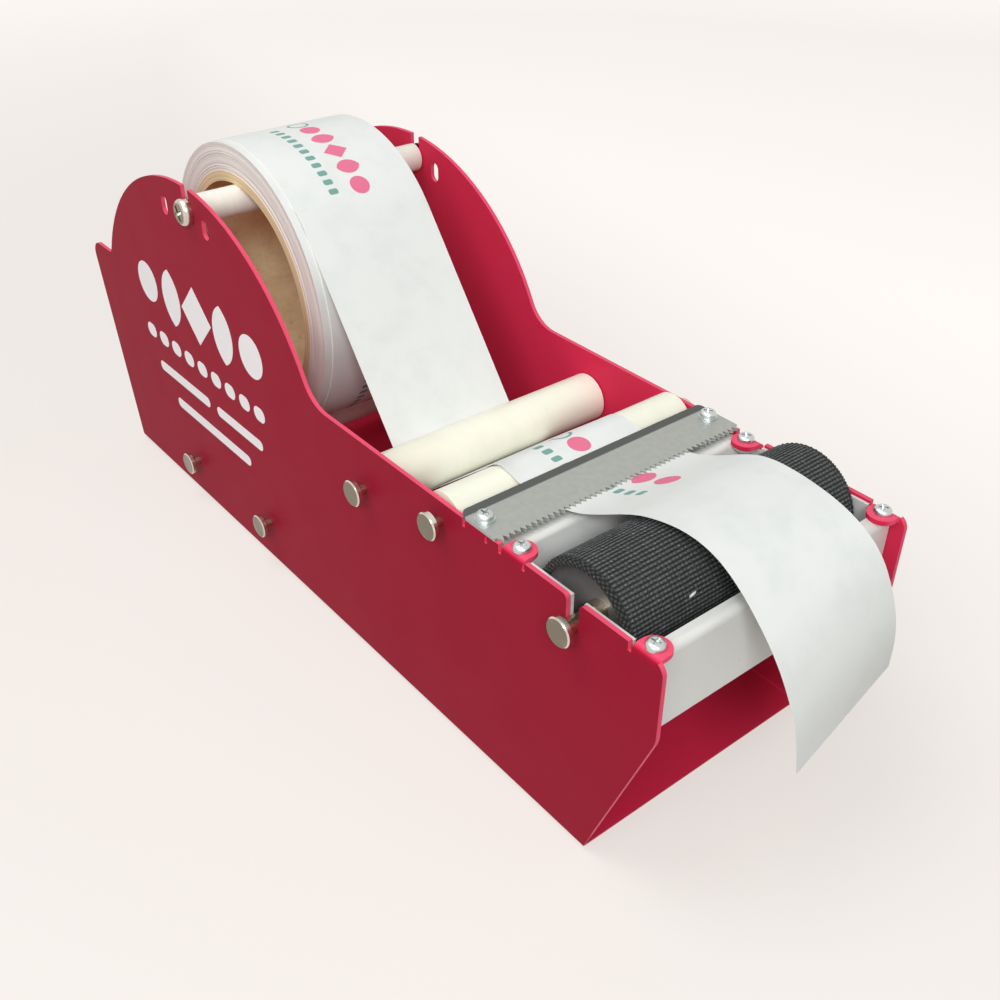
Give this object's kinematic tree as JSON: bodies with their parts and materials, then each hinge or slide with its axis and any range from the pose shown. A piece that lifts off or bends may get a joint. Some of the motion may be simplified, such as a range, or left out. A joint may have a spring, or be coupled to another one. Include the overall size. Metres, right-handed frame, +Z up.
{
  "type": "gummed tape dispenser",
  "caption": "Counter-top dispenser for gummed paper tape: folded sheet frame, lift-out roll axle, guide rollers, toothed cutter, water tank and knit-covered wetting roller.",
  "frame": {"origin": "middle of the base's underside", "axes": "+X to the right seen from the front, +Y to the rear, +Z up"},
  "size_m": [0.1104, 0.359, 0.1536],
  "materials": {
    "frame_paint": "satin powder coat",
    "tank_steel": "bare sheet",
    "blade_steel": "satin, hardened",
    "zinc": "bright zinc",
    "pin_steel": "turned",
    "nickel": "satin nickel",
    "roller_cream": "satin tube",
    "roller_white": "satin tube",
    "bush_white": "moulded",
    "drum_grey": "satin",
    "knit_black": "ribbed knit",
    "core_board": "wound board",
    "tape_paper": "gummed paper"
  },
  "bodies": {
    "frame": {"chassis": "frame_paint", "water_tank": "tank_steel", "cutter_blade": "blade_steel", "blade_washers": "zinc", "blade_screws": "zinc", "tank_screws": "zinc", "guide_pin_rear": "pin_steel", "guide_pin_heads_rear": "nickel", "guide_pin_front": "pin_steel", "guide_pin_heads_front": "nickel", "support_pin_rear": "pin_steel", "support_pin_heads_rear": "nickel", "support_pin_front": "pin_steel", "support_pin_heads_front": "nickel", "tape_web": "tape_paper"},
    "roll_axle": {"roll_axle_rod": "pin_steel", "roll_axle_screws": "zinc"},
    "roll": {"tape_core": "core_board", "tape_roll": "tape_paper"},
    "axle_tube": {"roll_axle_tube": "roller_white"},
    "guide_rear": {"guide_roller_rear": "roller_cream", "guide_bushes_rear": "bush_white"},
    "guide_front": {"guide_roller_front": "roller_cream", "guide_bushes_front": "bush_white"},
    "support_rear": {"support_roller_rear": "roller_white", "support_bushes_rear": "bush_white"},
    "support_front": {"support_roller_front": "roller_white", "support_bushes_front": "bush_white"},
    "wetting_axle": {"wetting_shaft": "pin_steel", "wetting_shaft_heads": "nickel"},
    "wetting_roller": {"wetting_drum": "drum_grey", "wetting_drum_caps": "drum_grey", "wetting_sleeve": "knit_black"}
  },
  "joints": [
    {"name": "roll_lift", "type": "slide", "parent": "frame", "child": "roll_axle", "axis": [0, 0, 1], "range_m": [0, 0.015], "deforming": ["tape_web"]},
    {"name": "roll_spin", "type": "hinge", "parent": "roll_axle", "child": "roll", "pos_m": [-0.005, 0.0638, 0.0991], "axis": [1, 0, 0], "continuous": true},
    {"name": "axle_tube_spin", "type": "hinge", "parent": "roll_axle", "child": "axle_tube", "pos_m": [0, 0.0638, 0.134], "axis": [1, 0, 0], "continuous": true},
    {"name": "guide_rear_spin", "type": "hinge", "parent": "frame", "child": "guide_rear", "pos_m": [0, -0.042, 0.072], "axis": [1, 0, 0], "continuous": true},
    {"name": "guide_front_spin", "type": "hinge", "parent": "frame", "child": "guide_front", "pos_m": [0, -0.0835, 0.0822], "axis": [1, 0, 0], "continuous": true},
    {"name": "support_rear_spin", "type": "hinge", "parent": "frame", "child": "support_rear", "pos_m": [0, 0.091, 0.017], "axis": [1, 0, 0], "continuous": true},
    {"name": "support_front_spin", "type": "hinge", "parent": "frame", "child": "support_front", "pos_m": [0, 0.0305, 0.0184], "axis": [1, 0, 0], "continuous": true},
    {"name": "wetting_lift", "type": "slide", "parent": "frame", "child": "wetting_axle", "axis": [0, 0, 1], "range_m": [0, 0.012], "deforming": ["tape_web"]},
    {"name": "wetting_spin", "type": "hinge", "parent": "wetting_axle", "child": "wetting_roller", "pos_m": [0, -0.142, 0.081], "axis": [1, 0, 0], "continuous": true}
  ],
  "couplings": [
    {"joint": "axle_tube_spin", "follows": "roll_spin", "ratio": 7.6415},
    {"joint": "guide_rear_spin", "follows": "roll_spin", "ratio": -6.1932},
    {"joint": "guide_front_spin", "follows": "roll_spin", "ratio": 6.1932},
    {"joint": "wetting_spin", "follows": "roll_spin", "ratio": 2.9945}
  ]
}
